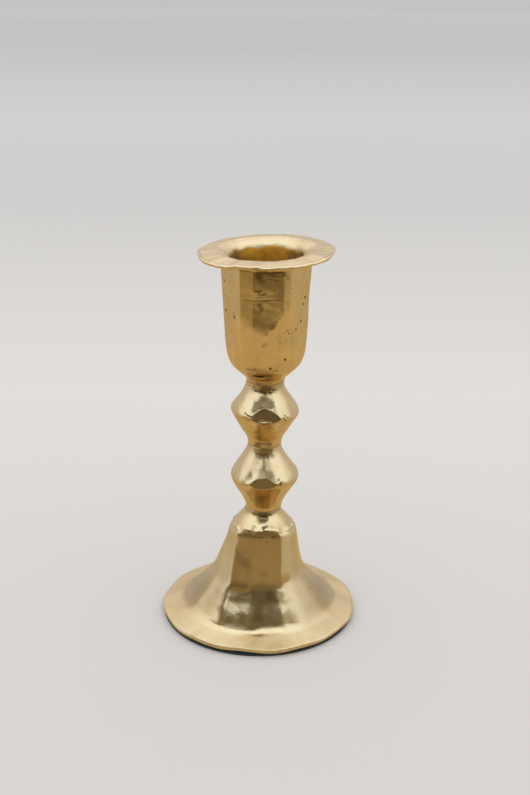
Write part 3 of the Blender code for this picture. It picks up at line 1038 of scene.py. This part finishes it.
# the sitter's outline: height in metres, degrees round of its left and right edge
SITTER = (
    (0.000, -80, 80), (0.050, -80, 80), (0.080, -62, 62), (0.140, -62, 60),
    (0.190, -30, 30), (0.225, -12, 14), (0.245, -5, 7), (0.275, -6, 8),
    (0.292, -26, 38), (0.312, -26, 38), (0.320, -62, 46), (0.420, -60, 44),
)


def sitter_shade(angle, up):
    """The sitter's colour: a dark core between lighter wings, a darker body, a pale neck and a dark head."""
    core = step(angle, -44, -32) * (1 - step(angle, 38, 47))
    body = step(up, 0.05, 0.075)
    neck = step(up, 0.205, 0.225) * (1 - step(up, 0.275, 0.290))
    head = step(up, 0.300, 0.315)
    shade = np.where((angle > 0)[..., None], DARK_RIGHT, DARK_WING)
    for colour, amount in ((DARK_CORE, core), (DARK_BODY, body), (PALE_NECK, neck), (DARK_HEAD, head)):
        shade = shade + (np.array(colour) - shade) * amount[..., None]
    return shade


def make_sitter():
    """The dark shape of whoever takes the picture: a curved card painted in bands."""
    steps = 81
    heights_up, left, right = np.array(SITTER).T
    share, up = np.meshgrid(np.linspace(0, 1, steps), np.linspace(SITTER_FOOT, heights_up[-1], steps))
    start = np.interp(up, heights_up, left)
    angle = start + (np.interp(up, heights_up, right) - start) * share
    polar = radians_round(angle)
    place = np.stack([SITTER_AWAY * np.cos(polar), SITTER_AWAY * np.sin(polar), up], axis=-1)
    index = np.arange(steps * steps).reshape(steps, steps)
    quads = np.stack([index[:-1, :-1], index[:-1, 1:], index[1:, 1:], index[1:, :-1]], axis=-1)
    card = reflected("sitter", place.reshape(-1, 3).tolist(), quads.reshape(-1, 4).tolist())
    shade = sitter_shade(angle, up).reshape(-1, 3)
    colours = np.concatenate([shade, np.ones((len(shade), 1))], axis=1)
    paint = card.data.attributes.new("shade", "FLOAT_COLOR", "POINT")
    paint.data.foreach_set("color", colours.reshape(-1).astype(np.float32))
    node = card.data.materials[0].node_tree.nodes.new("ShaderNodeAttribute")
    node.attribute_name = "shade"
    repaint(card, node.outputs["Color"])


LOW_FRONT = (0.33, 0.245, 0.13)
LOW_BLOCK = (0.14, 0.105, 0.05)
LEFT_SHADE = (0.345, 0.255, 0.115)
RIGHT_SHADE = (0.36, 0.32, 0.22)


def make_cards():
    """What the photo's brass mirrors: the table, the sitter, and cards in front, the low ones close by."""
    make_table_seen()
    make_sitter()
    reflected_card("low_card", 0.0, (0.032, 0.032), -28, 50, LOW_FRONT, NEAR_CARD_AWAY)
    reflected_card("low_left_card", 0.0, (0.029, 0.029), -62, -28, LOW_FRONT, NEAR_CARD_AWAY)
    reflected_card("low_left_block", 0.029, (0.038, 0.038), -76, -28, LOW_BLOCK, NEAR_CARD_AWAY)
    reflected_card("left_card", 0.066, (0.095, 0.095), -76, -28, LEFT_SHADE)
    reflected_card("left_block", 0.095, (0.119, 0.136), -63, -24, NEAR_BLOCK)
    reflected_card("middle_block", 0.095, (0.138, 0.147), -24, -6, NEAR_BLOCK)
    reflected_card("right_block", 0.095, (0.147, 0.143), -6, 37, NEAR_BLOCK)
    reflected_card("right_card", 0.095, (0.128, 0.122), 37, 68, RIGHT_SHADE)


# ---------------------------------------------------------------- the scene

def dress_cad_nodes():
    """Steel and board for the nodes that keep their CAD shape."""
    zinc = steel("zinc_steel", (0.60, 0.61, 0.62), 0.35)
    spring = steel("spring_steel", (0.24, 0.24, 0.25), 0.45)
    for node in ("tie_rod", "crown_washer", "hex_nut"):
        wear(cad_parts[node], zinc)
    wear(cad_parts["lock_washer"], spring)
    wear(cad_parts["base_board"], board_material())


def main():
    bpy.context.scene.view_settings.view_transform = "Standard"
    make_camera()
    pieces = {
        cup(): brass("cup_brass"),
        upper_knop(): brass("upper_knop_brass"),
        lower_knop(): brass("lower_knop_brass"),
        foot(): brass("foot_brass"),
        felt(): felt_material(),
    }
    for piece, material in pieces.items():
        wear(piece, material)
        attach(piece, "root")
    dress_cad_nodes()
    make_floor()
    make_world()
    make_cards()


main()
